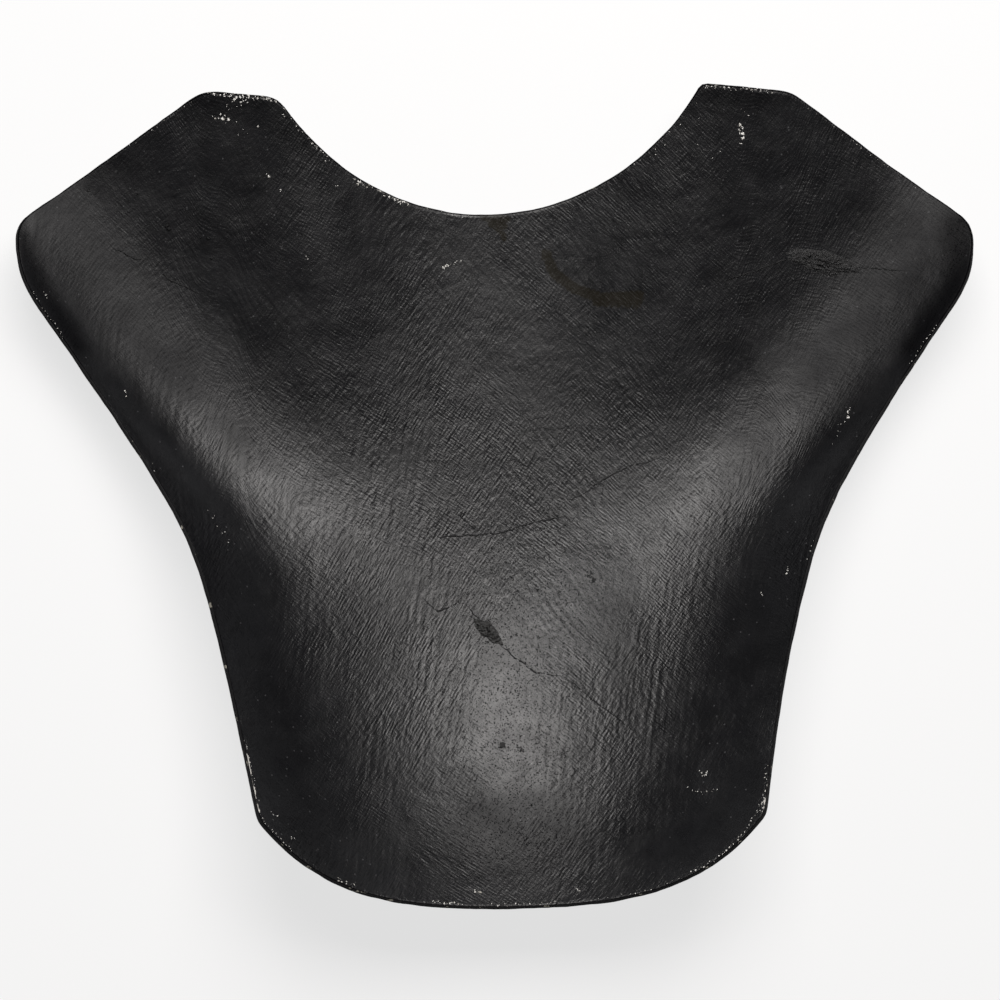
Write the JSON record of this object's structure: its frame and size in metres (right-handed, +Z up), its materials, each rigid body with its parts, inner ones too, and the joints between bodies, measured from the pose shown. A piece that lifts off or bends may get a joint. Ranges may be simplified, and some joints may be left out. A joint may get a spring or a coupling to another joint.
{
  "type": "motorcycle fuel tank cover",
  "caption": "One-piece moulded laminate shell that covers the rear shoulders of a motorcycle tank, with a round notch for the filler cap.",
  "frame": {"origin": "centre of the bounding box's bottom face, under the shell as it lies on its convex back", "axes": "+X across the tank, +Y from the seat end to the filler cap, +Z up out of the hollow that takes the tank"},
  "size_m": [0.402, 0.3432, 0.0683],
  "materials": {
    "painted_laminate": "black paint, semi-gloss, over the woven inner face of a glass and carbon laminate"
  },
  "bodies": {
    "root": {"cover_shell": "painted_laminate"}
  },
  "joints": []
}
